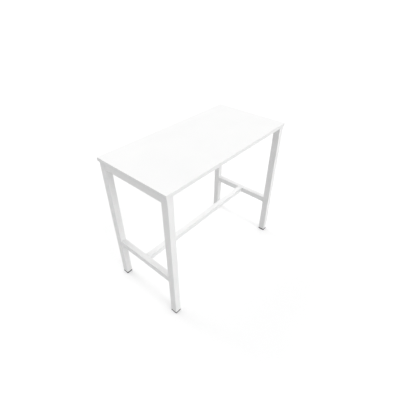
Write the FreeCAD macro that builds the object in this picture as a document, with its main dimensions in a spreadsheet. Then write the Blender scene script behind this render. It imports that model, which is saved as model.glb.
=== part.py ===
import FreeCAD, Part
import Sketcher
import math
import os

# A bar-height table: a thin white top on a frame of rounded square tube.
# X runs along the table's length, Y along its depth with the front at -Y, and Z is up.
# The origin is on the floor, in the middle of the table.

# Driving sizes in millimetres
SIZES = {
    # top
    "table_height": 1030.0,
    "top_length": 1200.0,
    "top_depth": 600.0,
    "top_thickness": 25.0,
    "edging_thickness": 2.0,
    "edging_radius": 1.0,
    # how far the top reaches past the legs
    "end_overhang": 8.0,
    "side_overhang": 5.0,
    # tubes
    "tube_wall": 2.0,
    "tube_corner_radius": 3.0,
    "leg_width": 45.0,
    "leg_depth": 50.0,
    "end_rail_width": 40.0,
    "end_rail_height": 50.0,
    "low_rail_width": 40.0,
    "low_rail_height": 45.0,
    "low_rail_top": 352.0,
    "footrest_width": 40.0,
    "footrest_height": 40.0,
    "beam_width": 20.0,
    "beam_height": 40.0,
    "beam_spacing": 300.0,
    # plates on the tubes' ends
    "footrest_plate_thickness": 5.0,
    "footrest_plate_clearance": 0.2,
    "beam_plate_width": 60.0,
    "beam_plate_thickness": 4.0,
    # bolts, all of one thread
    "bolt_diameter": 6.0,
    "bolt_head_diameter": 10.0,
    "bolt_head_height": 6.0,
    "bolt_end_chamfer": 0.5,
    "bolt_key_flats": 5.0,
    "bolt_key_depth": 3.0,
    "bolt_hole_clearance": 0.3,
    "thread_clearance": 0.05,
    "beam_bolt_length": 16.0,
    "beam_bolt_spacing": 40.0,
    "footrest_bolt_length": 12.0,
    "footrest_bolt_spacing": 16.0,
    # threaded rivets in the end rails
    "rivet_diameter": 9.0,
    "rivet_length": 12.0,
    "rivet_collar_diameter": 12.0,
    "rivet_collar_thickness": 2.0,
    # caps over the footrest bolts
    "cap_hole_diameter": 12.0,
    "cap_clearance": 0.1,
    "cap_depth": 6.0,
    "cap_head_diameter": 15.0,
    "cap_head_thickness": 1.5,
    "cap_head_chamfer": 0.5,
    # wood screws that hold the top from below
    "screw_diameter": 4.5,
    "screw_length": 18.0,
    "screw_tip_length": 4.0,
    "screw_tip_diameter": 1.0,
    "screw_head_diameter": 9.0,
    "screw_head_height": 3.0,
    "screw_key_flats": 3.5,
    "screw_key_depth": 1.5,
    "screw_hole_clearance": 0.3,
    "screw_pilot_overrun": 1.0,
    "screw_access_diameter": 11.0,
    "beam_screw_spacing": 360.0,
    "end_screw_spacing": 160.0,
    # plugs in the legs' lower ends, with their nuts
    "plug_flange_thickness": 3.0,
    "plug_length": 22.0,
    "plug_clearance": 0.2,
    "nut_flats": 13.0,
    "nut_height": 6.5,
    "nut_clearance": 0.05,
    # levelling studs
    "stud_diameter": 8.0,
    "stud_length": 42.0,
    "stud_end_chamfer": 1.0,
    "stud_hole_clearance": 0.3,
    "stud_head_diameter": 16.0,
    "stud_head_height": 3.0,
    "stud_key_flats": 5.0,
    "stud_key_depth": 2.0,
    # foot pads
    "pad_height": 9.0,
    "pad_floor": 3.0,
    "pad_chamfer": 1.0,
    "pad_lip_diameter": 14.4,
    "pad_socket_clearance": 0.1,
    "pad_key_hole_diameter": 8.0,
    # how far a cut runs past the face that it leaves
    "cut_overrun": 1.0,
}

SHEET_NAME = "Sizes"
MATCH_SHARE = 1e-6


class Size:
    """A length that keeps its number together with its formula in the sheet's names."""

    def __init__(self, value, formula):
        self.value = value
        self.formula = formula

    def __add__(self, other):
        return Size(self.value + other.value, f"({self.formula} + {other.formula})")

    def __sub__(self, other):
        return Size(self.value - other.value, f"({self.formula} - {other.formula})")

    def __mul__(self, factor):
        return Size(self.value * factor, f"({self.formula} * {factor})")

    def __truediv__(self, divisor):
        return Size(self.value / divisor, f"({self.formula} / {divisor})")

    def __neg__(self):
        return Size(-self.value, f"(-{self.formula})")


class NamedSizes:
    """The driving sizes, each one an attribute."""

    def __init__(self, values):
        for name, value in values.items():
            setattr(self, name, Size(value, f"{SHEET_NAME}.{name}"))


document = FreeCAD.newDocument("high_table")
sheet = document.addObject("Spreadsheet::Sheet", SHEET_NAME)
for row, (size_name, size_value) in enumerate(SIZES.items(), start=1):
    sheet.set(f"A{row}", size_name)
    sheet.set(f"B{row}", str(size_value))
    sheet.setAlias(f"B{row}", size_name)
document.recompute()

s = NamedSizes(SIZES)
ZERO = Size(0.0, "0")
UP = FreeCAD.Vector(0, 0, 1)
LEFT = FreeCAD.Vector(-1, 0, 0)
RIGHT = FreeCAD.Vector(1, 0, 0)
HALF_TURN = FreeCAD.Rotation(UP, 180)
NO_TURN = FreeCAD.Rotation()
SIDES = {"left": -1, "right": 1}
DEPTHS = {"front": -1, "back": 1}
nodes = {}


# Drawing helpers
def new_body(label):
    """An empty body that carries its label."""
    body = document.addObject("PartDesign::Body", label)
    body.Label = label
    return body


def new_sketch(body, role, height=ZERO):
    """A sketch on one of the body's own origin planes, lifted along that plane's normal."""
    plane = next(feature for feature in body.Origin.OriginFeatures if feature.Role == role)
    sketch = body.newObject("Sketcher::SketchObject", body.Name + "_sketch")
    sketch.AttachmentSupport = [(plane, "")]
    sketch.MapMode = "FlatFace"
    sketch.setExpression("AttachmentOffset.Base.z", height.formula)
    return sketch


def hold_coordinate(sketch, geometry, vertex, axis, distance):
    """Hold one coordinate of a sketch point at its distance from the sketch's origin."""
    if distance.value == 0:
        zero_line = {"X": -2, "Y": -1}[axis]
        sketch.addConstraint(Sketcher.Constraint("PointOnObject", geometry, vertex, zero_line))
        return
    if distance.value > 0:
        rule = Sketcher.Constraint("Distance" + axis, -1, 1, geometry, vertex, distance.value)
        formula = distance.formula
    else:
        rule = Sketcher.Constraint("Distance" + axis, geometry, vertex, -1, 1, -distance.value)
        formula = (-distance).formula
    index = sketch.addConstraint(rule)
    sketch.setExpression(f"Constraints[{index}]", formula)


def hold_point(sketch, geometry, vertex, x, y):
    """Hold a sketch point at x and y."""
    hold_coordinate(sketch, geometry, vertex, "X", x)
    hold_coordinate(sketch, geometry, vertex, "Y", y)


def draw_outline(sketch, points):
    """Draw a closed outline of straight lines, each corner held at its sizes."""
    corners = [FreeCAD.Vector(x.value, y.value, 0) for x, y in points]
    lines = []
    for index, corner in enumerate(corners):
        following = corners[(index + 1) % len(corners)]
        lines.append(sketch.addGeometry(Part.LineSegment(corner, following)))
    for index, line in enumerate(lines):
        following = lines[(index + 1) % len(lines)]
        sketch.addConstraint(Sketcher.Constraint("Coincident", line, 2, following, 1))
        hold_point(sketch, line, 1, *points[index])


def draw_rectangle(sketch, width, height):
    """Draw a rectangle centred on the sketch's origin."""
    x = width / 2
    y = height / 2
    draw_outline(sketch, [(-x, -y), (x, -y), (x, y), (-x, y)])


def draw_hexagon(sketch, flats):
    """Draw a hexagon centred on the sketch's origin, from its size across flats."""
    corner = flats / math.sqrt(3)
    flat = flats / 2
    draw_outline(sketch, [
        (corner, ZERO),
        (corner / 2, flat),
        (-corner / 2, flat),
        (-corner, ZERO),
        (-corner / 2, -flat),
        (corner / 2, -flat),
    ])


def draw_circle(sketch, x, y, radius):
    """Draw a circle held at x and y."""
    circle = Part.Circle(FreeCAD.Vector(x.value, y.value, 0), UP, radius.value)
    geometry = sketch.addGeometry(circle)
    hold_point(sketch, geometry, 3, x, y)
    index = sketch.addConstraint(Sketcher.Constraint("Radius", geometry, radius.value))
    sketch.setExpression(f"Constraints[{index}]", radius.formula)


# Solid features
def pad(body, sketch, length, side="One side", backwards=False):
    """Draw the sketch out along its normal."""
    feature = body.newObject("PartDesign::Pad", body.Name + "_pad")
    feature.Profile = sketch
    feature.setExpression("Length", length.formula)
    feature.SideType = side
    feature.Reversed = backwards
    document.recompute()
    return feature


def must_cut(body, before, feature):
    """Stop if a cut took nothing away."""
    document.recompute()
    if not body.Shape.Volume < before * (1 - MATCH_SHARE):
        raise RuntimeError(f"{feature.Name} cuts nothing")
    return feature


def pocket(body, sketch, depth, along_normal):
    """Cut the sketch into the solid, along its normal or against it."""
    before = body.Shape.Volume
    feature = body.newObject("PartDesign::Pocket", body.Name + "_pocket")
    feature.Profile = sketch
    feature.setExpression("Length", depth.formula)
    feature.Reversed = along_normal
    return must_cut(body, before, feature)


def turn_solid(body, points):
    """Turn an outline of radius and height about the upright axis."""
    sketch = new_sketch(body, "XZ_Plane")
    draw_outline(sketch, points)
    feature = body.newObject("PartDesign::Revolution", body.Name + "_turned")
    feature.Profile = sketch
    feature.ReferenceAxis = (sketch, ["V_Axis"])
    document.recompute()
    return feature


def turn_cut(body, points):
    """Cut an outline of radius and height, turned about the upright axis."""
    before = body.Shape.Volume
    sketch = new_sketch(body, "XZ_Plane")
    draw_outline(sketch, points)
    feature = body.newObject("PartDesign::Groove", body.Name + "_groove")
    feature.Profile = sketch
    feature.ReferenceAxis = (sketch, ["V_Axis"])
    return must_cut(body, before, feature)


def drill(body, role, spots, radius, depth, along_normal, height=ZERO):
    """Cut round holes that start on one plane, all the same way."""
    sketch = new_sketch(body, role, height)
    for x, y in spots:
        draw_circle(sketch, x, y, radius)
    return pocket(body, sketch, depth, along_normal)


def key_socket(body, flats, depth, height):
    """Cut a hexagon key's socket upwards from a face."""
    sketch = new_sketch(body, "XY_Plane", height)
    draw_hexagon(sketch, flats)
    return pocket(body, sketch, depth, along_normal=True)


def both_signs(length):
    """A length and its mirror image."""
    return [length, -length]


def edges_at(feature, lengths):
    """Name the edges whose middles lie at one of the given lengths along each axis."""
    slack = s.top_length.value * MATCH_SHARE
    named = []
    for number, edge in enumerate(feature.Shape.Edges, start=1):
        middle = edge.CenterOfMass
        if all(
            any(abs(middle[axis] - length.value) < slack for length in choices)
            for axis, choices in lengths.items()
        ):
            named.append(f"Edge{number}")
    return named


def round_edges(body, feature, edges, radius):
    """Round the named edges of a feature."""
    fillet = body.newObject("PartDesign::Fillet", body.Name + "_fillet")
    fillet.Base = (feature, edges)
    fillet.setExpression("Radius", radius.formula)
    document.recompute()
    return fillet


# Placing helpers
def place(body, x, y, z, turn=NO_TURN):
    """Put a body at its place and list it as a node."""
    body.Placement = FreeCAD.Placement(FreeCAD.Vector(x.value, y.value, z.value), turn)
    body.setExpression("Placement.Base.x", x.formula)
    body.setExpression("Placement.Base.y", y.formula)
    body.setExpression("Placement.Base.z", z.formula)
    nodes[body.Label] = body


def group(label, piece, spots):
    """Repeat a piece at each spot, as one node of separate solids."""
    document.recompute()
    copies = []
    for x, y, z, turn in spots:
        copy = piece.Shape.copy()
        copy.Placement = FreeCAD.Placement(FreeCAD.Vector(x.value, y.value, z.value), turn)
        copies.append(copy)
    node = document.addObject("Part::Feature", label)
    node.Shape = Part.makeCompound(copies)
    node.Label = label
    nodes[label] = node


def pointing(direction):
    """The turn that brings an upright piece to point along a direction."""
    return FreeCAD.Rotation(UP, direction)


# Places that several pieces share
underside = s.table_height - s.top_thickness
foot_height = s.pad_height + s.plug_flange_thickness
leg_x = s.top_length / 2 - s.end_overhang - s.leg_width / 2
leg_y = s.top_depth / 2 - s.side_overhang - s.leg_depth / 2
rail_length = leg_y * 2 - s.leg_depth
end_rail_z = underside - s.end_rail_height / 2
end_rail_face_x = leg_x - s.end_rail_width / 2
low_rail_z = s.low_rail_top - s.low_rail_height / 2
low_rail_face_x = leg_x - s.low_rail_width / 2
footrest_z = s.low_rail_top - s.footrest_height / 2
beam_y = s.beam_spacing / 2
beam_z = underside - s.beam_height / 2
beam_end_x = end_rail_face_x - s.beam_plate_thickness
bolt_radius = s.bolt_diameter / 2
bolt_hole_radius = bolt_radius + s.bolt_hole_clearance
thread_radius = bolt_radius + s.thread_clearance
screw_hole_radius = s.screw_diameter / 2 + s.screw_hole_clearance
screw_access_radius = s.screw_access_diameter / 2
footrest_bolt_rises = [-s.footrest_bolt_spacing / 2, s.footrest_bolt_spacing / 2]
beam_bolt_shifts = [-s.beam_bolt_spacing / 2, s.beam_bolt_spacing / 2]
beam_screw_places = [-s.beam_screw_spacing, ZERO, s.beam_screw_spacing]
end_screw_places = [-s.end_screw_spacing / 2, s.end_screw_spacing / 2]
beam_screw_spots = [(x, beam_y * sign) for sign in DEPTHS.values() for x in beam_screw_places]
end_screw_spots = [(leg_x * sign, y) for sign in SIDES.values() for y in end_screw_places]
top_screw_spots = beam_screw_spots + end_screw_spots


# Top
def make_board():
    """The board, with blind pilot holes in its underside."""
    board = new_body("tabletop_board")
    sketch = new_sketch(board, "XY_Plane")
    edging = s.edging_thickness * 2
    draw_rectangle(sketch, s.top_length - edging, s.top_depth - edging)
    pad(board, sketch, s.top_thickness)
    pilot_radius = s.screw_diameter / 2 + s.thread_clearance
    pilot_depth = s.screw_length - s.tube_wall + s.screw_pilot_overrun
    drill(board, "XY_Plane", top_screw_spots, pilot_radius, pilot_depth, along_normal=True)
    place(board, ZERO, ZERO, underside)


def make_edging(label, x_size, y_size, x, y, outer_face):
    """One strip of edging on the board's side, rounded along its outer face."""
    strip = new_body(label)
    sketch = new_sketch(strip, "XY_Plane")
    draw_rectangle(sketch, x_size, y_size)
    run = pad(strip, sketch, s.top_thickness)
    round_edges(strip, run, edges_at(run, outer_face), s.edging_radius)
    place(strip, x, y, underside)


def make_top():
    """The board and the edging on its four sides."""
    make_board()
    half_strip = s.edging_thickness / 2
    strip_y = s.top_depth / 2 - half_strip
    strip_x = s.top_length / 2 - half_strip
    short_length = s.top_depth - s.edging_thickness * 2
    for depth, sign in DEPTHS.items():
        label = f"edging_{depth}"
        make_edging(label, s.top_length, s.edging_thickness, ZERO, strip_y * sign, {1: [half_strip * sign]})
    for side, sign in SIDES.items():
        label = f"edging_{side}"
        make_edging(label, s.edging_thickness, short_length, strip_x * sign, ZERO, {0: [half_strip * sign]})


# Tubes
def make_tube(label, role, width, height, length, corner_axes):
    """A rounded tube, centred on its own middle and drawn out along the plane's normal."""
    tube = new_body(label)
    sketch = new_sketch(tube, role)
    walls = s.tube_wall * 2
    draw_rectangle(sketch, width, height)
    draw_rectangle(sketch, width - walls, height - walls)
    run = pad(tube, sketch, length, side="Symmetric")
    first, second = corner_axes
    corners = edges_at(run, {first: both_signs(width / 2), second: both_signs(height / 2)})
    round_edges(tube, run, corners, s.tube_corner_radius)
    return tube


def make_legs():
    """Four legs from the plugs' flanges up to the top."""
    length = underside - foot_height
    for depth, y_sign in DEPTHS.items():
        for side, x_sign in SIDES.items():
            leg = make_tube(f"leg_{depth}_{side}", "XY_Plane", s.leg_width, s.leg_depth, length, (0, 1))
            place(leg, leg_x * x_sign, leg_y * y_sign, foot_height + length / 2)


def make_end_rails():
    """The rails under the top's ends, with holes for the beams' rivets and for the top's screws."""
    rivet_hole_radius = s.rivet_diameter / 2 + s.thread_clearance
    rivet_spots = [
        (beam_y * sign + shift, beam_z - end_rail_z)
        for sign in DEPTHS.values()
        for shift in beam_bolt_shifts
    ]
    screw_spots = [(ZERO, y) for y in end_screw_places]
    across = s.end_rail_width / 2 + s.cut_overrun
    upright = s.end_rail_height / 2 + s.cut_overrun
    for side, sign in SIDES.items():
        size = (s.end_rail_width, s.end_rail_height, rail_length)
        rail = make_tube(f"end_rail_{side}", "XZ_Plane", *size, (0, 2))
        drill(rail, "YZ_Plane", rivet_spots, rivet_hole_radius, across, along_normal=True)
        drill(rail, "XY_Plane", screw_spots, screw_hole_radius, upright, along_normal=True)
        drill(rail, "XY_Plane", screw_spots, screw_access_radius, upright, along_normal=False)
        place(rail, leg_x * sign, ZERO, end_rail_z, NO_TURN if sign < 0 else HALF_TURN)


def make_low_rails():
    """The low rails, with the footrest's bolt holes inside and the wider cap holes outside."""
    spots = [(ZERO, footrest_z - low_rail_z + rise) for rise in footrest_bolt_rises]
    across = s.low_rail_width / 2 + s.cut_overrun
    for side, sign in SIDES.items():
        size = (s.low_rail_width, s.low_rail_height, rail_length)
        rail = make_tube(f"low_rail_{side}", "XZ_Plane", *size, (0, 2))
        drill(rail, "YZ_Plane", spots, bolt_hole_radius, across, along_normal=True)
        drill(rail, "YZ_Plane", spots, s.cap_hole_diameter / 2, across, along_normal=False)
        place(rail, leg_x * sign, ZERO, low_rail_z, NO_TURN if sign < 0 else HALF_TURN)


def make_footrest():
    """The bar between the low rails, its upper face level with theirs."""
    size = (s.footrest_width, s.footrest_height, low_rail_face_x * 2)
    bar = make_tube("footrest_bar", "YZ_Plane", *size, (1, 2))
    place(bar, ZERO, ZERO, footrest_z)


def make_beams():
    """Two beams under the top, with screw holes above and wider holes below for the driver."""
    screw_spots = [(x, ZERO) for x in beam_screw_places]
    upright = s.beam_height / 2 + s.cut_overrun
    for depth, sign in DEPTHS.items():
        beam = make_tube(f"beam_{depth}", "YZ_Plane", s.beam_width, s.beam_height, beam_end_x * 2, (1, 2))
        drill(beam, "XY_Plane", screw_spots, screw_hole_radius, upright, along_normal=True)
        drill(beam, "XY_Plane", screw_spots, screw_access_radius, upright, along_normal=False)
        place(beam, ZERO, beam_y * sign, beam_z)


# Plates on the tubes' ends
def make_plate(label, width, height, thickness, spots, hole_radius):
    """A flat plate square to X, with round holes through it."""
    plate = new_body(label)
    sketch = new_sketch(plate, "YZ_Plane")
    draw_rectangle(sketch, width, height)
    for y, z in spots:
        draw_circle(sketch, y, z, hole_radius)
    pad(plate, sketch, thickness, side="Symmetric")
    return plate


def make_footrest_plates():
    """A tapped plate inside each end of the footrest bar."""
    gap = (s.tube_wall + s.footrest_plate_clearance) * 2
    width = s.footrest_width - gap
    height = s.footrest_height - gap
    spots = [(ZERO, rise) for rise in footrest_bolt_rises]
    plate = make_plate("footrest_plate", width, height, s.footrest_plate_thickness, spots, thread_radius)
    plate_x = low_rail_face_x - s.footrest_plate_thickness / 2
    group("footrest_plates", plate, [(plate_x * sign, ZERO, footrest_z, NO_TURN) for sign in SIDES.values()])


def make_beam_plates():
    """A plate on each end of the beams, flat against the end rail."""
    spots = [(shift, ZERO) for shift in beam_bolt_shifts]
    size = (s.beam_plate_width, s.beam_height, s.beam_plate_thickness)
    plate = make_plate("beam_plate", *size, spots, bolt_hole_radius)
    plate_x = beam_end_x + s.beam_plate_thickness / 2
    group("beam_plates", plate, [
        (plate_x * x_sign, beam_y * y_sign, beam_z, NO_TURN)
        for x_sign in SIDES.values()
        for y_sign in DEPTHS.values()
    ])


# Fasteners, each made upright with its head below and its bearing face at zero height
def make_fastener(label, radius, length, tip_radius, tip_length, head_radius, head_height):
    """A screw or bolt with a round flat head and a tapered end."""
    fastener = new_body(label)
    turn_solid(fastener, [
        (ZERO, -head_height),
        (head_radius, -head_height),
        (head_radius, ZERO),
        (radius, ZERO),
        (radius, length - tip_length),
        (tip_radius, length),
        (ZERO, length),
    ])
    return fastener


def make_bolt(label, length):
    """A bolt with a hexagon socket in its head and a chamfered end."""
    tip_radius = bolt_radius - s.bolt_end_chamfer
    head_radius = s.bolt_head_diameter / 2
    size = (bolt_radius, length, tip_radius, s.bolt_end_chamfer, head_radius, s.bolt_head_height)
    bolt = make_fastener(label, *size)
    key_socket(bolt, s.bolt_key_flats, s.bolt_key_depth, -s.bolt_head_height)
    return bolt


def make_beam_bolts():
    """Bolts through the beams' plates, and the threaded rivets in the end rails that they enter."""
    bolt = make_bolt("beam_bolt", s.beam_bolt_length)
    rivet = new_body("beam_rivet")
    rivet_radius = s.rivet_diameter / 2
    collar_radius = s.rivet_collar_diameter / 2
    collar_end = s.tube_wall + s.rivet_collar_thickness
    turn_solid(rivet, [
        (thread_radius, ZERO),
        (rivet_radius, ZERO),
        (rivet_radius, s.tube_wall),
        (collar_radius, s.tube_wall),
        (collar_radius, collar_end),
        (rivet_radius, collar_end),
        (rivet_radius, s.rivet_length),
        (thread_radius, s.rivet_length),
    ])
    bolt_spots = []
    rivet_spots = []
    for x_sign, outwards in ((-1, LEFT), (1, RIGHT)):
        for y_sign in DEPTHS.values():
            for shift in beam_bolt_shifts:
                y = beam_y * y_sign + shift
                bolt_spots.append((beam_end_x * x_sign, y, beam_z, pointing(outwards)))
                rivet_spots.append((end_rail_face_x * x_sign, y, beam_z, pointing(outwards)))
    group("beam_bolts", bolt, bolt_spots)
    group("beam_rivets", rivet, rivet_spots)


def make_footrest_bolts():
    """Bolts from inside the low rails into the footrest's plates, and the caps over their holes."""
    bolt = make_bolt("footrest_bolt", s.footrest_bolt_length)
    cap = new_body("footrest_cap")
    plug_radius = s.cap_hole_diameter / 2 - s.cap_clearance
    head_radius = s.cap_head_diameter / 2
    turn_solid(cap, [
        (ZERO, -s.cap_head_thickness),
        (head_radius - s.cap_head_chamfer, -s.cap_head_thickness),
        (head_radius, s.cap_head_chamfer - s.cap_head_thickness),
        (head_radius, ZERO),
        (plug_radius, ZERO),
        (plug_radius, s.cap_depth),
        (ZERO, s.cap_depth),
    ])
    bolt_x = low_rail_face_x + s.tube_wall
    cap_x = low_rail_face_x + s.low_rail_width
    bolt_spots = []
    cap_spots = []
    for x_sign, inwards in ((-1, RIGHT), (1, LEFT)):
        for rise in footrest_bolt_rises:
            bolt_spots.append((bolt_x * x_sign, ZERO, footrest_z + rise, pointing(inwards)))
            cap_spots.append((cap_x * x_sign, ZERO, footrest_z + rise, pointing(inwards)))
    group("footrest_bolts", bolt, bolt_spots)
    group("footrest_caps", cap, cap_spots)


def make_top_screws():
    """Wood screws from inside the beams and end rails up into the board."""
    radius = s.screw_diameter / 2
    tip_radius = s.screw_tip_diameter / 2
    head_radius = s.screw_head_diameter / 2
    size = (radius, s.screw_length, tip_radius, s.screw_tip_length, head_radius, s.screw_head_height)
    screw = make_fastener("top_screw", *size)
    key_socket(screw, s.screw_key_flats, s.screw_key_depth, -s.screw_head_height)
    seat = underside - s.tube_wall
    group("top_screws", screw, [(x, y, seat, NO_TURN) for x, y in top_screw_spots])


# Feet
def make_plug(label):
    """A plug for a leg's lower end: a flange under the tube, and a hexagon pocket below for the nut."""
    plug = new_body(label)
    flange_sketch = new_sketch(plug, "XY_Plane", -s.plug_flange_thickness)
    draw_rectangle(flange_sketch, s.leg_width, s.leg_depth)
    flange = pad(plug, flange_sketch, s.plug_flange_thickness)
    corners = edges_at(flange, {0: both_signs(s.leg_width / 2), 1: both_signs(s.leg_depth / 2)})
    round_edges(plug, flange, corners, s.tube_corner_radius)
    gap = (s.tube_wall + s.plug_clearance) * 2
    stem_sketch = new_sketch(plug, "XY_Plane")
    draw_rectangle(stem_sketch, s.leg_width - gap, s.leg_depth - gap)
    pad(plug, stem_sketch, s.plug_length)
    bore_radius = s.stud_diameter / 2 + s.stud_hole_clearance
    bore_depth = s.plug_flange_thickness + s.plug_length + s.cut_overrun
    drill(plug, "XY_Plane", [(ZERO, ZERO)], bore_radius, bore_depth, True, -s.plug_flange_thickness)
    key_socket(plug, s.nut_flats + s.nut_clearance * 2, s.nut_height, -s.plug_flange_thickness)
    return plug


def make_nut():
    """A plain hexagon nut that the stud runs in."""
    nut = new_body("plug_nut")
    sketch = new_sketch(nut, "XY_Plane")
    draw_hexagon(sketch, s.nut_flats)
    draw_circle(sketch, ZERO, ZERO, s.stud_diameter / 2 + s.thread_clearance)
    pad(nut, sketch, s.nut_height)
    return nut


def make_stud(label):
    """A levelling stud: a flat head that turns in the pad, with a key socket below, and a threaded rod."""
    stud = new_body(label)
    rod_radius = s.stud_diameter / 2
    head_radius = s.stud_head_diameter / 2
    rod_end = s.stud_head_height + s.stud_length
    turn_solid(stud, [
        (ZERO, ZERO),
        (head_radius, ZERO),
        (head_radius, s.stud_head_height),
        (rod_radius, s.stud_head_height),
        (rod_radius, rod_end - s.stud_end_chamfer),
        (rod_radius - s.stud_end_chamfer, rod_end),
        (ZERO, rod_end),
    ])
    key_socket(stud, s.stud_key_flats, s.stud_key_depth, ZERO)
    return stud


def make_pad(label):
    """A square foot pad that holds the stud's head in a snap socket, with a hole below for the key."""
    foot = new_body(label)
    sketch = new_sketch(foot, "XY_Plane")
    draw_rectangle(sketch, s.leg_width, s.leg_depth)
    block = pad(foot, sketch, s.pad_height)
    corners = edges_at(block, {0: both_signs(s.leg_width / 2), 1: both_signs(s.leg_depth / 2)})
    rounded = round_edges(foot, block, corners, s.tube_corner_radius)
    bevel = foot.newObject("PartDesign::Chamfer", foot.Name + "_chamfer")
    bevel.Base = (rounded, edges_at(rounded, {2: [ZERO]}))
    bevel.setExpression("Size", s.pad_chamfer.formula)
    document.recompute()
    socket_radius = s.stud_head_diameter / 2 + s.pad_socket_clearance
    lip_radius = s.pad_lip_diameter / 2
    lip_start = s.pad_floor + s.stud_head_height + s.pad_socket_clearance
    above = s.pad_height + s.cut_overrun
    turn_cut(foot, [
        (ZERO, s.pad_floor),
        (socket_radius, s.pad_floor),
        (socket_radius, lip_start),
        (lip_radius, lip_start),
        (lip_radius, above),
        (ZERO, above),
    ])
    drill(foot, "XY_Plane", [(ZERO, ZERO)], s.pad_key_hole_diameter / 2, s.pad_floor + s.cut_overrun, True)
    return foot


def make_feet():
    """Under each leg: the plug with its nut, the stud and the pad."""
    nut_spots = []
    for depth, y_sign in DEPTHS.items():
        for side, x_sign in SIDES.items():
            x = leg_x * x_sign
            y = leg_y * y_sign
            place(make_plug(f"leg_plug_{depth}_{side}"), x, y, foot_height)
            place(make_stud(f"foot_stud_{depth}_{side}"), x, y, s.pad_floor)
            place(make_pad(f"foot_pad_{depth}_{side}"), x, y, ZERO)
            nut_spots.append((x, y, s.pad_height, NO_TURN))
    group("plug_nuts", make_nut(), nut_spots)


# Whole table
make_top()
make_legs()
make_end_rails()
make_low_rails()
make_footrest()
make_beams()
make_footrest_plates()
make_beam_plates()
make_beam_bolts()
make_footrest_bolts()
make_top_screws()
make_feet()
document.recompute()

# Check every object before anything is written
failed = [thing.Name for thing in document.Objects if {"Invalid", "Error"} & set(thing.State)]
if failed:
    raise RuntimeError(f"objects that failed: {failed}")
for label, node in nodes.items():
    if node.Shape.isNull() or not node.Shape.isValid():
        raise RuntimeError(f"{label} has no valid shape")

# Write one file for each node
os.makedirs("parts", exist_ok=True)
for label, node in nodes.items():
    node.Shape.exportStep(os.path.join("parts", f"{label}.step"))
print(f"{len(nodes)} nodes written")
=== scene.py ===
import math

import bmesh
import bpy
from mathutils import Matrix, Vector


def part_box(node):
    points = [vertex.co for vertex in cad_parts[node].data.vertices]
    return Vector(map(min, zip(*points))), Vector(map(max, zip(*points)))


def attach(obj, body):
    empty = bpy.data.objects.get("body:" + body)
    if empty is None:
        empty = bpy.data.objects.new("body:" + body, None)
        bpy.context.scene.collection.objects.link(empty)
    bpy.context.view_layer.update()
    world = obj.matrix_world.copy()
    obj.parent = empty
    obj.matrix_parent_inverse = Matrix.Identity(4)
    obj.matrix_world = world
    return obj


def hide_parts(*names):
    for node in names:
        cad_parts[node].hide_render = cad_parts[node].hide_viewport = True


# A white bar-height table: finishes for its solids, welds at its tubes, threads on its feet, and a studio.

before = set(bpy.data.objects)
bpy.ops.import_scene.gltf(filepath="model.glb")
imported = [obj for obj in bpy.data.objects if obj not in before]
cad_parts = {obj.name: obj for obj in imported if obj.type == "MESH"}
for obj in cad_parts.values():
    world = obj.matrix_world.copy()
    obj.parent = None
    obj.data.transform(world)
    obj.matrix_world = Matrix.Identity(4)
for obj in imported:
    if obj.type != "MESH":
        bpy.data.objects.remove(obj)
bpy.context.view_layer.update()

MM = 0.001
X, Y, Z = range(3)
CORNERS = ["front_left", "front_right", "back_left", "back_right"]

# Colours, as linear red, green and blue
PAINT = (0.900, 0.900, 0.896, 1.0)
PAINT_CLOUD = (0.875, 0.877, 0.876, 1.0)
# the darker paint that the corners turn to, as painted shade
PAINT_CORNER_SHADE = (0.640, 0.630, 0.610, 1.0)
BOARD = (0.875, 0.875, 0.872, 1.0)
BOARD_CLOUD = (0.855, 0.856, 0.855, 1.0)
BOARD_FLECK = (0.800, 0.800, 0.795, 1.0)
EDGING = (0.872, 0.872, 0.868, 1.0)
EDGING_STREAK = (0.835, 0.836, 0.834, 1.0)
CAP = (0.865, 0.865, 0.860, 1.0)
CAP_CLOUD = (0.835, 0.835, 0.832, 1.0)
FOOT = (0.058, 0.058, 0.061, 1.0)
FOOT_CLOUD = (0.082, 0.082, 0.084, 1.0)
FOOT_WORN = (0.180, 0.178, 0.174, 1.0)
ZINC = (0.640, 0.650, 0.665, 1.0)
ZINC_YELLOW = (0.600, 0.575, 0.500, 1.0)
FLOOR_SHOWN = (0.800, 0.800, 0.800, 1.0)
FLOOR_BOUNCE = (0.540, 0.540, 0.540, 1.0)
WHITE = (1.0, 1.0, 1.0, 1.0)

# How corners between pieces and sharp edges are told from open flats
CREVICE_SAMPLES = 4
CREVICE_START = 0.25
CREVICE_END = 0.85
EDGE_SAMPLES = 4
EDGE_START = 0.80
EDGE_END = 0.99


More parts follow.
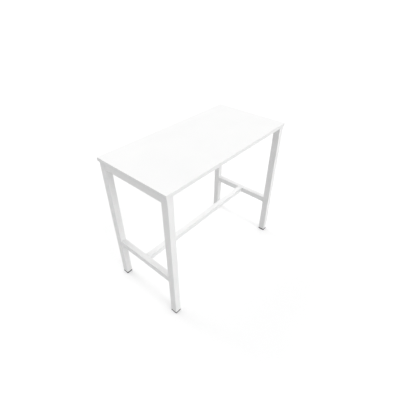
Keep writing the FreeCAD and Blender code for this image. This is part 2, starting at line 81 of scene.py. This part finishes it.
class Wiring:
    """A tree of shader nodes, with short ways to add to it."""

    def __init__(self, tree):
        self.nodes = tree.nodes
        self.links = tree.links

    def feed(self, socket, value):
        """Gives a socket another node's output, or a number or colour of its own."""
        if isinstance(value, bpy.types.NodeSocket):
            self.links.new(value, socket)
        else:
            socket.default_value = value

    def add(self, kind, inputs, **settings):
        """Adds a node with its settings, and its inputs by name or number."""
        node = self.nodes.new(f"ShaderNode{kind}")
        for name, value in settings.items():
            setattr(node, name, value)
        for name, value in inputs.items():
            self.feed(node.inputs[name], value)
        return node

    def calculate(self, operation, *numbers):
        """The result of an operation on numbers."""
        return self.add("Math", dict(enumerate(numbers)), operation=operation).outputs["Value"]

    def measure(self, operation, *vectors):
        """A number that comes from vectors, such as the distance between them."""
        return self.add("VectorMath", dict(enumerate(vectors)), operation=operation).outputs["Value"]

    def spread(self, value, low, high, start=0.3, end=0.7):
        """Maps start..end of a value to low..high, and holds it there outside."""
        inputs = {"Value": value, "From Min": start, "From Max": end, "To Min": low, "To Max": high}
        return self.add("MapRange", inputs).outputs["Result"]

    def choose(self, share, first, second):
        """The first shader, turning to the second as share goes from 0 to 1."""
        return self.add("MixShader", {0: share, 1: first, 2: second}).outputs["Shader"]

    def seen_directly(self):
        """1 for rays from the camera or a glossy or clear surface, 0 for light on its way to the table."""
        path = self.add("LightPath", {}).outputs
        mirrored = self.calculate("MAXIMUM", path["Is Glossy Ray"], path["Is Transmission Ray"])
        return self.calculate("MAXIMUM", path["Is Camera Ray"], mirrored)


class Finish(Wiring):
    """A procedural material: a principled shader and the nodes that feed it."""

    def __init__(self, name, constants):
        self.material = bpy.data.materials.new(name)
        self.material.use_nodes = True
        super().__init__(self.material.node_tree)
        self.shader = self.nodes["Principled BSDF"]
        self.position = self.add("TexCoord", {}).outputs["Object"]
        for socket, value in constants.items():
            self.shader.inputs[socket].default_value = value

    def noise(self, size, detail=2.0, stretch=None):
        """Soft noise whose patches are about size across, drawn out along an axis by stretch."""
        place = self.position
        if stretch:
            squeeze = [1.0 / share for share in stretch]
            place = self.add("Mapping", {"Vector": place, "Scale": squeeze}).outputs["Vector"]
        inputs = {"Vector": place, "Scale": 1.0 / size, "Detail": detail}
        return self.add("TexNoise", inputs).outputs["Fac"]

    def mix(self, share, first, second):
        """The first colour, turning to the second as share goes from 0 to 1."""
        node = self.add("Mix", {}, data_type="RGBA")
        sockets = [socket for socket in node.inputs if socket.enabled]
        for socket, value in zip(sockets, [share, first, second]):
            self.feed(socket, value)
        return [socket for socket in node.outputs if socket.enabled][0]

    def crevices(self, reach):
        """1 deep in corners between pieces, 0 in the open."""
        occlusion = self.add("AmbientOcclusion", {"Distance": reach}, samples=CREVICE_SAMPLES)
        open_share = occlusion.outputs["AO"]
        return self.spread(open_share, low=1.0, high=0.0, start=CREVICE_START, end=CREVICE_END)

    def edges(self, width):
        """1 along sharp edges, 0 on the flats."""
        rounded = self.add("Bevel", {"Radius": width}, samples=EDGE_SAMPLES).outputs["Normal"]
        flat = self.add("NewGeometry", {}).outputs["Normal"]
        likeness = self.measure("DOT_PRODUCT", rounded, flat)
        return self.spread(likeness, low=1.0, high=0.0, start=EDGE_START, end=EDGE_END)

    def bump(self, height, depth, below=None):
        """Relief of a given depth, laid over an earlier relief if there is one."""
        inputs = {"Height": height, "Distance": depth}
        if below:
            inputs["Normal"] = below
        return self.add("Bump", inputs).outputs["Normal"]

    def finish(self, colour, roughness, relief):
        """Joins colour, roughness and relief to the shader, and returns the material."""
        self.links.new(colour, self.shader.inputs["Base Color"])
        self.links.new(roughness, self.shader.inputs["Roughness"])
        self.links.new(relief, self.shader.inputs["Normal"])
        return self.material


def powder_coat():
    """White powder coat: orange peel over steel, with painted shade darkening it in the corners between
    pieces.
    """
    coat = Finish("white_powder_coat", {"IOR": 1.5, "Coat Weight": 0.08, "Coat Roughness": 0.25})
    cloud = coat.spread(coat.noise(size=140 * MM), low=0.0, high=1.0)
    colour = coat.mix(cloud, PAINT, PAINT_CLOUD)
    # painted shade: a mottled darkening in the corners between pieces, where shade falls
    corner_shade_mottle = coat.spread(coat.noise(size=9 * MM), low=0.02, high=0.16)
    painted_corner_shade = coat.calculate("MULTIPLY", coat.crevices(reach=14 * MM), corner_shade_mottle)
    colour = coat.mix(painted_corner_shade, colour, PAINT_CORNER_SHADE)
    roughness = coat.spread(coat.noise(size=30 * MM, detail=4.0), low=0.36, high=0.48)
    peel = coat.bump(coat.noise(size=2.6 * MM, detail=1.5), depth=0.050 * MM)
    relief = coat.bump(coat.noise(size=0.5 * MM, detail=1.0), depth=0.006 * MM, below=peel)
    return coat.finish(colour, roughness, relief)


def melamine():
    """White melamine: a pearl of fine pits, faint wiping marks in the sheen, and a few flecks."""
    board = Finish("white_melamine", {"IOR": 1.48})
    cloud = board.spread(board.noise(size=260 * MM), low=0.0, high=1.0)
    colour = board.mix(cloud, BOARD, BOARD_CLOUD)
    speck = board.noise(size=1.4 * MM, detail=0.0)
    fleck = board.spread(speck, low=0.0, high=0.35, start=0.70, end=0.80)
    colour = board.mix(fleck, colour, BOARD_FLECK)
    wiped = board.noise(size=60 * MM, detail=3.0, stretch=(5.0, 1.0, 1.0))
    roughness = board.spread(wiped, low=0.36, high=0.50)
    pearl = board.bump(board.noise(size=1.1 * MM), depth=0.030 * MM)
    return board.finish(colour, roughness, pearl)


def edging_strip(name, stretch):
    """White edging strip: drawn lines along its length and a softened arris."""
    strip = Finish(name, {"IOR": 1.46})
    line = strip.noise(size=1.6 * MM, detail=3.0, stretch=stretch)
    colour = strip.mix(strip.spread(line, low=0.0, high=0.8), EDGING, EDGING_STREAK)
    handling = strip.spread(strip.noise(size=25 * MM), low=0.0, high=0.5)
    rubbed = strip.calculate("MULTIPLY", strip.edges(width=0.8 * MM), handling)
    colour = strip.mix(rubbed, colour, EDGING_STREAK)
    roughness = strip.spread(line, low=0.30, high=0.42)
    relief = strip.bump(line, depth=0.012 * MM)
    return strip.finish(colour, roughness, relief)


def moulded_cap():
    """White moulded cap: spark-eroded skin."""
    cap = Finish("white_moulded_cap", {"IOR": 1.46})
    cloud = cap.spread(cap.noise(size=20 * MM), low=0.0, high=1.0)
    colour = cap.mix(cloud, CAP, CAP_CLOUD)
    roughness = cap.spread(cap.noise(size=4 * MM), low=0.38, high=0.50)
    relief = cap.bump(cap.noise(size=0.5 * MM), depth=0.020 * MM)
    return cap.finish(colour, roughness, relief)


def moulded_foot():
    """Dark moulded foot: matt grained plastic with its arrises rubbed paler."""
    foot = Finish("dark_moulded_foot", {"IOR": 1.45})
    cloud = foot.spread(foot.noise(size=12 * MM, detail=3.0), low=0.0, high=1.0)
    colour = foot.mix(cloud, FOOT, FOOT_CLOUD)
    scuffing = foot.spread(foot.noise(size=3 * MM), low=0.0, high=0.8)
    rubbed = foot.calculate("MULTIPLY", foot.edges(width=0.9 * MM), scuffing)
    colour = foot.mix(rubbed, colour, FOOT_WORN)
    roughness = foot.spread(foot.noise(size=6 * MM), low=0.52, high=0.68)
    relief = foot.bump(foot.noise(size=0.6 * MM), depth=0.040 * MM)
    return foot.finish(colour, roughness, relief)


def zinc_plate():
    """Zinc plate: bright metal with a yellowish bloom and fine tool marks."""
    metal = Finish("zinc_plated_steel", {"Metallic": 1.0})
    patch = metal.noise(size=5 * MM, detail=3.0)
    bloom = metal.spread(patch, low=0.0, high=0.55, start=0.4, end=0.75)
    colour = metal.mix(bloom, ZINC, ZINC_YELLOW)
    roughness = metal.spread(metal.noise(size=2 * MM), low=0.24, high=0.42)
    marks = metal.noise(size=0.7 * MM, stretch=(1.0, 1.0, 6.0))
    relief = metal.bump(marks, depth=0.010 * MM)
    return metal.finish(colour, roughness, relief)


# Every solid takes its finish, and those not listed here are painted tube and plate
ALONG_X = (40.0, 1.0, 1.0)
ALONG_Y = (1.0, 40.0, 1.0)
paint = powder_coat()
zinc = zinc_plate()
foot_plastic = moulded_foot()
long_edging = edging_strip("white_edging_along", ALONG_X)
short_edging = edging_strip("white_edging_across", ALONG_Y)
finishes = {
    "tabletop_board": melamine(),
    "edging_front": long_edging,
    "edging_back": long_edging,
    "edging_left": short_edging,
    "edging_right": short_edging,
    "footrest_caps": moulded_cap(),
}
for name in ["beam_bolts", "beam_rivets", "footrest_bolts", "top_screws", "plug_nuts"]:
    finishes[name] = zinc
for corner in CORNERS:
    finishes[f"leg_plug_{corner}"] = foot_plastic
    finishes[f"foot_pad_{corner}"] = foot_plastic
    finishes[f"foot_stud_{corner}"] = zinc
for name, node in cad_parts.items():
    for slot in node.material_slots:
        slot.material = finishes.get(name, paint)


def new_piece(name, mesh, body, material):
    """Puts a mesh into the scene as a piece that rides on a body."""
    bmesh.ops.recalc_face_normals(mesh, faces=mesh.faces[:])
    data = bpy.data.meshes.new(name)
    mesh.to_mesh(data)
    mesh.free()
    for face in data.polygons:
        face.use_smooth = True
    data.materials.append(material)
    piece = bpy.data.objects.new(name, data)
    bpy.context.scene.collection.objects.link(piece)
    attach(piece, body)
    return piece


def loft(mesh, rings, closed_path=False):
    """Skins a row of rings of points, and caps the two ends unless the row closes on itself."""
    rows = [[mesh.verts.new(point) for point in points] for points in rings]
    pairs = list(zip(rows, rows[1:]))
    if closed_path:
        pairs.append((rows[-1], rows[0]))
    for lower, upper in pairs:
        for here in range(len(lower)):
            there = (here + 1) % len(lower)
            mesh.faces.new([lower[here], lower[there], upper[there], upper[here]])
    if not closed_path:
        mesh.faces.new(list(reversed(rows[0])))
        mesh.faces.new(rows[-1])


# Weld beads, where one tube ends on the face of another
TUBE_RADIUS = 3 * MM
BEAD_LEG = 2.1 * MM
BEAD_ROOT = 0.8 * MM
BEAD_STEP = 0.5 * MM
RIPPLE_PITCH = 2.2 * MM
RIPPLE_SHARE = 0.16
CORNER_STEPS = 6
# the bead's section in legs, out from the tube and along it, from its toe to its top
BEAD_SECTION = [(1.0, 0.0), (0.86, 0.42), (0.62, 0.68), (0.36, 0.88), (0.0, 1.0)]


def tube_outline(width, height, open_top):
    """Points and outward directions round a tube's outline, from its left side down and round.

    An open top leaves out the upper side, as on a tube that lies close under the board.
    """
    half_width = width / 2 - TUBE_RADIUS
    half_height = height / 2 - TUBE_RADIUS
    # the centres of the corners, with the angle where each one's arc starts
    corners = [
        (-half_width, -half_height, math.pi),
        (half_width, -half_height, math.pi * 3 / 2),
    ]
    if not open_top:
        corners += [(half_width, half_height, 0.0), (-half_width, half_height, math.pi / 2)]
    path = []
    if open_top:
        path.append((Vector((-width / 2, height / 2 - BEAD_LEG)), Vector((-1.0, 0.0))))
    for across, up, start in corners:
        for step in range(CORNER_STEPS + 1):
            angle = start + math.pi / 2 * step / CORNER_STEPS
            outward = Vector((math.cos(angle), math.sin(angle)))
            path.append((Vector((across, up)) + outward * TUBE_RADIUS, outward))
    if open_top:
        path.append((Vector((width / 2, height / 2 - BEAD_LEG)), Vector((1.0, 0.0))))
    return path


def even_steps(path, closed):
    """The same path with points about a bead step apart."""
    ends = path[1:] + (path[:1] if closed else [])
    points = []
    for (here, outward), (there, next_outward) in zip(path, ends):
        count = max(1, round((there - here).length / BEAD_STEP))
        for step in range(count):
            share = step / count
            points.append((here.lerp(there, share), outward.lerp(next_outward, share).normalized()))
    if not closed:
        points.append(path[-1])
    return points


def add_bead(mesh, centre, across, along, size, open_top):
    """One rippled fillet bead round a tube's end, with along pointing from the joint into the tube."""
    points = even_steps(tube_outline(size[0], size[1], open_top), not open_top)
    up = Vector((0.0, 0.0, 1.0))
    rings = []
    for index, (place, outward) in enumerate(points):
        phase = index * BEAD_STEP / RIPPLE_PITCH % 1.0
        leg = BEAD_LEG * (1.0 - RIPPLE_SHARE * phase)
        origin = centre + across * place.x + up * place.y
        out = across * outward.x + up * outward.y
        section = [origin + out * leg * out_share + along * leg * along_share
                   for out_share, along_share in BEAD_SECTION]
        section.append(origin - out * BEAD_ROOT + along * leg)
        section.append(origin - out * BEAD_ROOT - along * BEAD_ROOT)
        section.append(origin + out * leg - along * BEAD_ROOT)
        rings.append(section)
    loft(mesh, rings, closed_path=not open_top)


def axis_vector(axis, length):
    """A vector of a given length along one axis."""
    vector = Vector((0.0, 0.0, 0.0))
    vector[axis] = length
    return vector


def tube_welds(name, tubes, along_axis, across_axis, open_top):
    """Beads round both ends of level tubes, where they meet the legs or the plates on their ends."""
    mesh = bmesh.new()
    across = axis_vector(across_axis, 1.0)
    for tube in tubes:
        low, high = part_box(tube)
        size = (high[across_axis] - low[across_axis], high[Z] - low[Z])
        for end, inward in [(low[along_axis], 1.0), (high[along_axis], -1.0)]:
            centre = (Vector(low) + Vector(high)) / 2
            centre[along_axis] = end
            add_bead(mesh, centre, across, axis_vector(along_axis, inward), size, open_top)
    new_piece(name, mesh, "frame", paint)


tube_welds("weld_beads_end_rails", ["end_rail_left", "end_rail_right"], Y, X, open_top=True)
tube_welds("weld_beads_low_rails", ["low_rail_left", "low_rail_right"], Y, X, open_top=False)
tube_welds("weld_beads_beams", ["beam_front", "beam_back"], X, Y, open_top=True)

# Levelling studs with their thread cut, in place of the plain rods of the solids
THREAD_PITCH = 1.25 * MM
THREAD_RADIUS = 4.0 * MM
THREAD_DEPTH = 0.68 * MM
THREAD_ROWS_PER_TURN = 6
# where the thread's flank starts and ends, as shares of the way from mid-crest to mid-root
CREST_SHARE = 0.14
ROOT_SHARE = 0.78
HEAD_HEIGHT = 3.0 * MM
HEAD_CHAMFER = 0.4 * MM
KEY_SIDES = 6
KEY_FLATS = 5.0 * MM
KEY_DEPTH = 2.0 * MM
END_CHAMFER = 1.0 * MM
STUD_SIDES = 36
STUD_ANGLES = [math.tau * side / STUD_SIDES for side in range(STUD_SIDES)]


def ring(x, y, z, radii):
    """A ring of points round an upright axis, one for each of the stud's angles."""
    return [Vector((x + radius * math.cos(angle), y + radius * math.sin(angle), z))
            for angle, radius in zip(STUD_ANGLES, radii)]


def key_radius(angle):
    """How far the hexagon socket reaches from its middle in a given direction."""
    side = math.tau / KEY_SIDES
    return KEY_FLATS / 2 / math.cos((angle + side / 2) % side - side / 2)


def thread_radius(angle, height):
    """The radius of a right-handed thread, flat at its crest and root."""
    turn = (height / THREAD_PITCH - angle / math.tau) % 1.0
    from_crest = abs(2.0 * turn - 1.0)
    sunk = (from_crest - CREST_SHARE) / (ROOT_SHARE - CREST_SHARE)
    return THREAD_RADIUS - THREAD_DEPTH * min(1.0, max(0.0, sunk))


def threaded_stud(corner):
    """One stud, as rings from its key socket over its round head and up the thread to its chamfered tip."""
    low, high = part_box(f"foot_stud_{corner}")
    x = (low[X] + high[X]) / 2
    y = (low[Y] + high[Y]) / 2
    head_radius = (high[X] - low[X]) / 2
    base = low[Z]
    neck = base + HEAD_HEIGHT
    tip = high[Z]
    key_radii = [key_radius(angle) for angle in STUD_ANGLES]
    rings = [ring(x, y, base + KEY_DEPTH, key_radii), ring(x, y, base, key_radii)]
    head_profile = [
        (base, HEAD_CHAMFER),
        (base + HEAD_CHAMFER, 0.0),
        (neck - HEAD_CHAMFER, 0.0),
        (neck, HEAD_CHAMFER),
    ]
    for z, inset in head_profile:
        rings.append(ring(x, y, z, [head_radius - inset] * STUD_SIDES))
    rows = round((tip - neck) / THREAD_PITCH * THREAD_ROWS_PER_TURN)
    for row in range(rows + 1):
        z = neck + (tip - neck) * row / rows
        most = THREAD_RADIUS - max(0.0, z - (tip - END_CHAMFER))
        rings.append(ring(x, y, z, [min(most, thread_radius(angle, z - neck)) for angle in STUD_ANGLES]))
    mesh = bmesh.new()
    loft(mesh, rings)
    piece = new_piece(f"threaded_stud_{corner}", mesh, f"stud_{corner}", zinc)
    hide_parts(f"foot_stud_{corner}")


for corner in CORNERS:
    threaded_stud(corner)

# Studio: a white floor inside a light tent, whose walls glow, with a tall strip light in front and behind
FLOOR_REACH = 40.0
FLOOR_GLOW = 0.208
# the floor clears close round a foot that is this far below it, and loses its shadow a little further out
CLEAR_DEPTH = 1.0 * MM
CLEAR_REACH = 250 * MM
PLAIN_REACH = 400 * MM
FRONT = (0.0, -1.0, 0.0)
BACK = (0.0, 1.0, 0.0)
RIGHT = (1.0, 0.0, 0.0)
LEFT = (-1.0, 0.0, 0.0)
# how much more, or less, the tent glows towards each side
WALL_LEVELS = {FRONT: 0.47, BACK: 0.65, RIGHT: 0.44, LEFT: -0.25}
# starts and ends are the upward part of a direction, from 0 at the floor to 1 straight up,
# and the strips' half width is its sideways part
ROOF_LEVEL = 0.605
ZENITH_LEVEL = 0.40
ZENITH_START = 0.80
ZENITH_END = 0.95
STRIP_LEVEL = 4.3
STRIP_HALF_WIDTH = 0.25
STRIP_FOOT_START = 0.15
STRIP_FOOT_END = 0.50
STRIP_TOP_START = 0.78
STRIP_TOP_END = 0.90


def tent_level(sky):
    """The tent's brightness in each direction: its roof, its walls, and the strips in front and behind."""
    heading = sky.add("TexCoord", {}).outputs["Generated"]
    parts = sky.add("SeparateXYZ", {"Vector": heading}).outputs
    upward = parts["Z"]
    level = sky.spread(upward, low=ROOF_LEVEL, high=ZENITH_LEVEL, start=ZENITH_START, end=ZENITH_END)
    for direction, wall_level in WALL_LEVELS.items():
        ahead = sky.calculate("MAXIMUM", sky.measure("DOT_PRODUCT", heading, direction), 0.0)
        level = sky.calculate("MULTIPLY_ADD", ahead, wall_level, level)
    sideways = sky.calculate("ABSOLUTE", parts["X"])
    strip = sky.spread(sideways, low=1.0, high=0.0, start=0.0, end=STRIP_HALF_WIDTH)
    above_floor = sky.spread(upward, low=0.0, high=1.0, start=STRIP_FOOT_START, end=STRIP_FOOT_END)
    below_roof = sky.spread(upward, low=1.0, high=0.0, start=STRIP_TOP_START, end=STRIP_TOP_END)
    for share in [above_floor, below_roof]:
        strip = sky.calculate("MULTIPLY", strip, share)
    return sky.calculate("MULTIPLY_ADD", strip, STRIP_LEVEL, level)


def make_sky():
    """The light tent, which shows as a plain white backdrop."""
    world = bpy.data.worlds.new("light_tent")
    world.use_nodes = True
    sky = Wiring(world.node_tree)
    light = sky.nodes["Background"]
    sky.feed(light.inputs["Color"], WHITE)
    sky.feed(light.inputs["Strength"], tent_level(sky))
    backdrop = sky.add("Background", {"Color": WHITE, "Strength": 1.0})
    seen = sky.choose(sky.seen_directly(), light.outputs["Background"], backdrop.outputs["Background"])
    sky.links.new(seen, sky.nodes["World Output"].inputs["Surface"])
    bpy.context.scene.world = world


def foot_below(floor, corner):
    """How plain and how clear the floor is round one foot, each from 0 to 1.

    Both are 0 unless the foot is screwed out below the floor.
    """
    node = f"foot_pad_{corner}"
    low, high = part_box(node)
    middle = (Vector(low) + Vector(high)) / 2
    # the floor seen from the pad: it rises there as the pad goes down
    place = floor.add("TexCoord", {}, object=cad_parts[node]).outputs["Object"]
    rise = floor.add("SeparateXYZ", {"Vector": place}).outputs["Z"]
    below = floor.calculate("GREATER_THAN", rise, CLEAR_DEPTH)
    distance = floor.measure("DISTANCE", place, middle)
    near = floor.spread(distance, low=1.0, high=0.0, start=CLEAR_REACH, end=PLAIN_REACH)
    close = floor.calculate("LESS_THAN", distance, CLEAR_REACH)
    return floor.calculate("MULTIPLY", below, near), floor.calculate("MULTIPLY", below, close)


def floor_finish():
    """White where it is seen, with the table's shadow on it, and greyer as a source of light.

    It is clear from below. Round a foot that is screwed out below it, it turns plain and then clears.
    """
    material = bpy.data.materials.new("studio_floor")
    material.use_nodes = True
    floor = Wiring(material.node_tree)
    floor.nodes.remove(floor.nodes["Principled BSDF"])
    shown = floor.add("BsdfDiffuse", {"Color": FLOOR_SHOWN}).outputs["BSDF"]
    glow = floor.add("Emission", {"Strength": FLOOR_GLOW}).outputs["Emission"]
    white = floor.add("AddShader", {0: shown, 1: glow}).outputs["Shader"]
    plain = floor.add("Emission", {"Strength": 1.0}).outputs["Emission"]
    bounce = floor.add("BsdfDiffuse", {"Color": FLOOR_BOUNCE}).outputs["BSDF"]
    clear = floor.add("BsdfTransparent", {}).outputs["BSDF"]
    seen = floor.seen_directly()
    clear_share = floor.add("NewGeometry", {}).outputs["Backfacing"]
    for corner in CORNERS:
        plain_share, opening = foot_below(floor, corner)
        white = floor.choose(plain_share, white, plain)
        opened = floor.calculate("MULTIPLY", seen, opening)
        clear_share = floor.calculate("MAXIMUM", clear_share, opened)
    surface = floor.choose(seen, bounce, white)
    surface = floor.choose(clear_share, surface, clear)
    floor.links.new(surface, floor.nodes["Material Output"].inputs["Surface"])
    return material


def make_floor():
    """A floor that reaches past every view."""
    mesh = bmesh.new()
    signs = [(-1, -1), (1, -1), (1, 1), (-1, 1)]
    mesh.faces.new([mesh.verts.new((x * FLOOR_REACH, y * FLOOR_REACH, 0.0)) for x, y in signs])
    data = bpy.data.meshes.new("studio_floor")
    mesh.to_mesh(data)
    mesh.free()
    data.materials.append(floor_finish())
    floor = bpy.data.objects.new("studio_floor", data)
    bpy.context.scene.collection.objects.link(floor)


make_sky()
make_floor()
bpy.context.scene.view_settings.view_transform = "Standard"

# Camera at the photograph's viewing angle
CAMERA_PLACE = (-1.40129, -1.22298, 1.92629)
CAMERA_TURN = math.radians(-48.84)
# at 90 degrees the camera would look level, and it looks 37.18 degrees down from there
CAMERA_TILT = math.radians(90.0 - 37.18)
CAMERA_LENS = 27.383
CAMERA_SENSOR = 36.0

camera_data = bpy.data.cameras.new("camera")
camera_data.sensor_width = CAMERA_SENSOR
camera_data.lens = CAMERA_LENS
camera = bpy.data.objects.new("camera", camera_data)
camera.location = CAMERA_PLACE
camera.rotation_euler = (CAMERA_TILT, 0.0, CAMERA_TURN)
bpy.context.scene.collection.objects.link(camera)
bpy.context.scene.camera = camera
